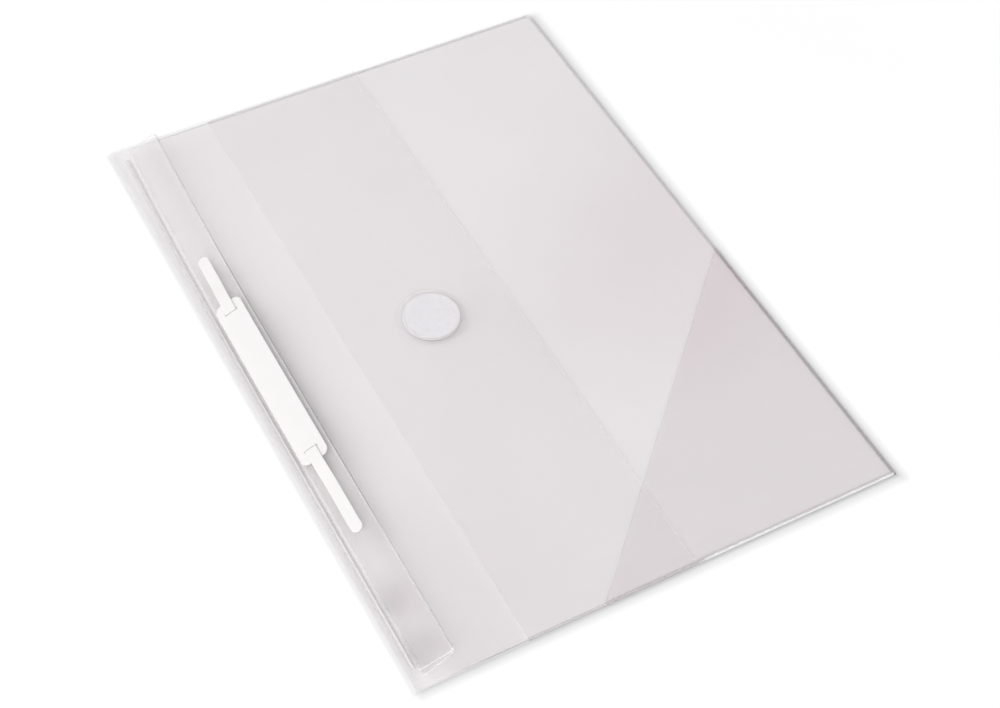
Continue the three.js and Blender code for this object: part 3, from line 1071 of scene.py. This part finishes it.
def floor_material(settings):
    """A matt white floor that keeps the wallet's shadow, and turns plain white well away from it.

    The floor's colour holds a painted shadow of the thin film: a soft darker band thrown to the side
    away from the lamp, as a blurred rectangle a little nearer and to the right, darker still at the
    wallet's edge. The camera, gloss and clear pieces also see a faint glow outside it, and under the
    strip a faint glow of painted light that lifts the strip's shade.
    """
    shader = Shader(bpy.data.materials.new("floor"))
    place = shader.add("TexCoord", output="Object")
    half = ((RIGHT - LEFT) / 2, (FAR - NEAR) / 2)
    from_thrown = outside_box(shader, place, (2.0 * MM, -2.1 * MM), half)
    from_wallet = outside_box(shader, place, (0.0, 0.0), half)
    # Painted shadow on the floor round the wallet, darkest at its edge.
    open_share = shader.smooth(from_thrown, -2.5 * MM, 5.2 * MM)
    painted_contact_shadow = shader.smooth(from_wallet, 0.2 * MM, 1.9 * MM)
    outside = shader.smooth(from_wallet, -0.8 * MM, 0.1 * MM)
    painted_shadow = 0.69 + 0.22 * open_share + 0.09 * painted_contact_shadow
    level = 1.0 + (painted_shadow - 1.0) * outside
    colour = shader.add("CombineColor", {}, {k: level * settings.floor[k] for k in range(3)})
    matt = shader.add("BsdfDiffuse", {}, {"Color": colour})
    seen = (shader.ray("Camera") + shader.ray("Glossy") + shader.ray("Transmission")).held()
    across = shader.part(place, "X")
    entering = shader.smooth(across, LEFT + 2 * MM, LEFT + 6 * MM)
    leaving = shader.smooth(across, LEFT + 11 * MM, LEFT + 21 * MM)
    # Painted light under the strip: a faint glow that lifts the shade there.
    under_strip = (1 - outside) * entering * (1 - leaving)
    raised = seen * (0.85 * open_share + under_strip)
    lift = shader.mix(raised, shader.glow(0.0), shader.glow(0.1))
    lifted = shader.add("AddShader", {}, {0: matt, 1: lift})
    away = shader.smooth(shader.vector("LENGTH", place, output="Value"), 0.18, 0.34)
    return shader.finish(shader.mix(away * seen, lifted, shader.glow(1.0)))


def studio_world(settings):
    """Pure white to the camera, with an even light on the wallet.

    Only gloss sees the pale horizon that turns grey overhead, the soft patches and the dark
    cards. A card is a direction, the exponent with which it fades and its depth.
    """
    world = bpy.data.worlds.new("studio")
    bpy.context.scene.world = world
    shader = Shader(world)
    direction = shader.add("TexCoord", output="Generated")
    upward = shader.part(direction, "Z")
    grey = shader.ramp(upward, ((0.55, 0.96), (0.72, 0.88), (0.88, 0.62)))
    patches = shader.noise(direction, 9.0, 1.0)
    lit = 1.0
    for card, sharpness, depth in (
        ((-0.505, 0.440, 0.742), 420.0, 0.95),
        ((0.268, 0.447, 0.853), 500.0, 1.0),
        ((0.355, 0.529, 0.771), 1800.0, 0.45),
        ((0.379, 0.531, 0.758), 1600.0, 0.60),
        ((0.401, 0.530, 0.747), 1300.0, 1.0),
        ((0.423, 0.531, 0.735), 650.0, 1.0),
    ):
        along = shader.vector("DOT_PRODUCT", direction, card, output="Value")
        lit = (1 - depth * along.larger(0.0) ** sharpness) * lit
    card_colour = (0.42, 0.10, 0.18, 1.0)
    tint = shader.blend(lit, card_colour, WHITE)
    strength = grey * (1.0 + 0.4 * patches)
    mirrored = shader.glow(strength, "Background", tint)
    light = shader.glow(settings.daylight, "Background")
    lighting = shader.mix(shader.ray("Glossy"), light, mirrored)
    shader.finish(shader.mix(shader.ray("Camera"), lighting, shader.glow(1.0, "Background")))


def area_lamp(name, place, size, power):
    """A round soft lamp at a place, turned to the wallet, whose image no film mirrors."""
    lamp = bpy.data.lights.new(name, "AREA")
    lamp.shape, lamp.size, lamp.energy = "DISK", size, power
    holder = placed(name, lamp)
    holder.location = place
    holder.rotation_euler = (-Vector(place)).to_track_quat("-Z", "Y").to_euler()
    holder.visible_camera = False
    holder.visible_glossy = False


class WALLET_OT_stage(bpy.types.Operator):
    """Set the floor, the light and the camera"""

    bl_idname = "wallet.stage"
    bl_label = "Stage"

    def execute(self, context):
        scene = context.scene
        settings = scene.wallet_stage
        half, level = 4.0, -0.1 * MM
        mesh = bpy.data.meshes.new("floor")
        corners = ((-half, -half), (half, -half), (half, half), (-half, half))
        mesh.from_pydata([(x, y, level) for x, y in corners], [], [(0, 1, 2, 3)])
        mesh.materials.append(floor_material(settings))
        floor = placed("floor", mesh)
        studio_world(settings)
        area_lamp("window", (-2.3, 0.85, 1.5), 1.4, settings.lamp)
        area_lamp("fill", (-1.3, -1.9, 2.4), 1.6, settings.fill)
        lens = bpy.data.cameras.new("camera")
        lens.sensor_width, lens.lens = 36.0, settings.lens
        lens.clip_start, lens.clip_end = 0.01, 50.0
        camera = placed("camera", lens)
        place = (-0.2701, -0.4659, 0.6399)
        right = Vector((0.879217, -0.474815, 0.039106))
        down = Vector((-0.349596, -0.698752, -0.624122))
        ahead = Vector((0.323668, 0.535067, -0.780347))
        turned = Matrix((right, -down, -ahead)).transposed()
        camera.matrix_world = Matrix.Translation(place) @ turned.to_4x4()
        scene.camera = camera
        scene.view_settings.view_transform = "Standard"
        scene.cycles.transparent_max_bounces = 24
        scene.cycles.max_bounces = 10
        scene.cycles.diffuse_bounces = 2
        scene.cycles.glossy_bounces = 8
        return {"FINISHED"}


class WALLET_PT_panel(bpy.types.Panel):
    """The wallet's pieces in the order in which they are made"""

    bl_label = "Clear document wallet"
    bl_idname = "WALLET_PT_panel"
    bl_space_type = "VIEW_3D"
    bl_region_type = "UI"
    bl_category = "Wallet"

    def draw(self, context):
        for operator in OPERATORS:
            self.layout.operator(operator.bl_idname)
        for group in GROUPS:
            settings = getattr(context.scene, group)
            box = self.layout.box()
            for key in settings.__annotations__:
                box.prop(settings, key)


GROUPS = {"wallet_sizes": WalletSizes, "wallet_colours": WalletColours, "wallet_stage": StageSettings}
OPERATORS = (
    WALLET_OT_stage, WALLET_OT_back, WALLET_OT_pocket, WALLET_OT_welds,
    WALLET_OT_flap, WALLET_OT_dot, WALLET_OT_strip, WALLET_OT_fastener,
)


def register():
    for kind in (*GROUPS.values(), *OPERATORS, WALLET_PT_panel):
        bpy.utils.register_class(kind)
    for name, group in GROUPS.items():
        setattr(bpy.types.Scene, name, PointerProperty(type=group))


def unregister():
    for name in GROUPS:
        delattr(bpy.types.Scene, name)
    for kind in (WALLET_PT_panel, *reversed(OPERATORS), *GROUPS.values()):
        bpy.utils.unregister_class(kind)


def main():
    """Makes every piece in order."""
    register()
    for operator in OPERATORS:
        getattr(bpy.ops.wallet, operator.bl_idname.removeprefix("wallet."))()


if __name__ == "__main__":
    main()
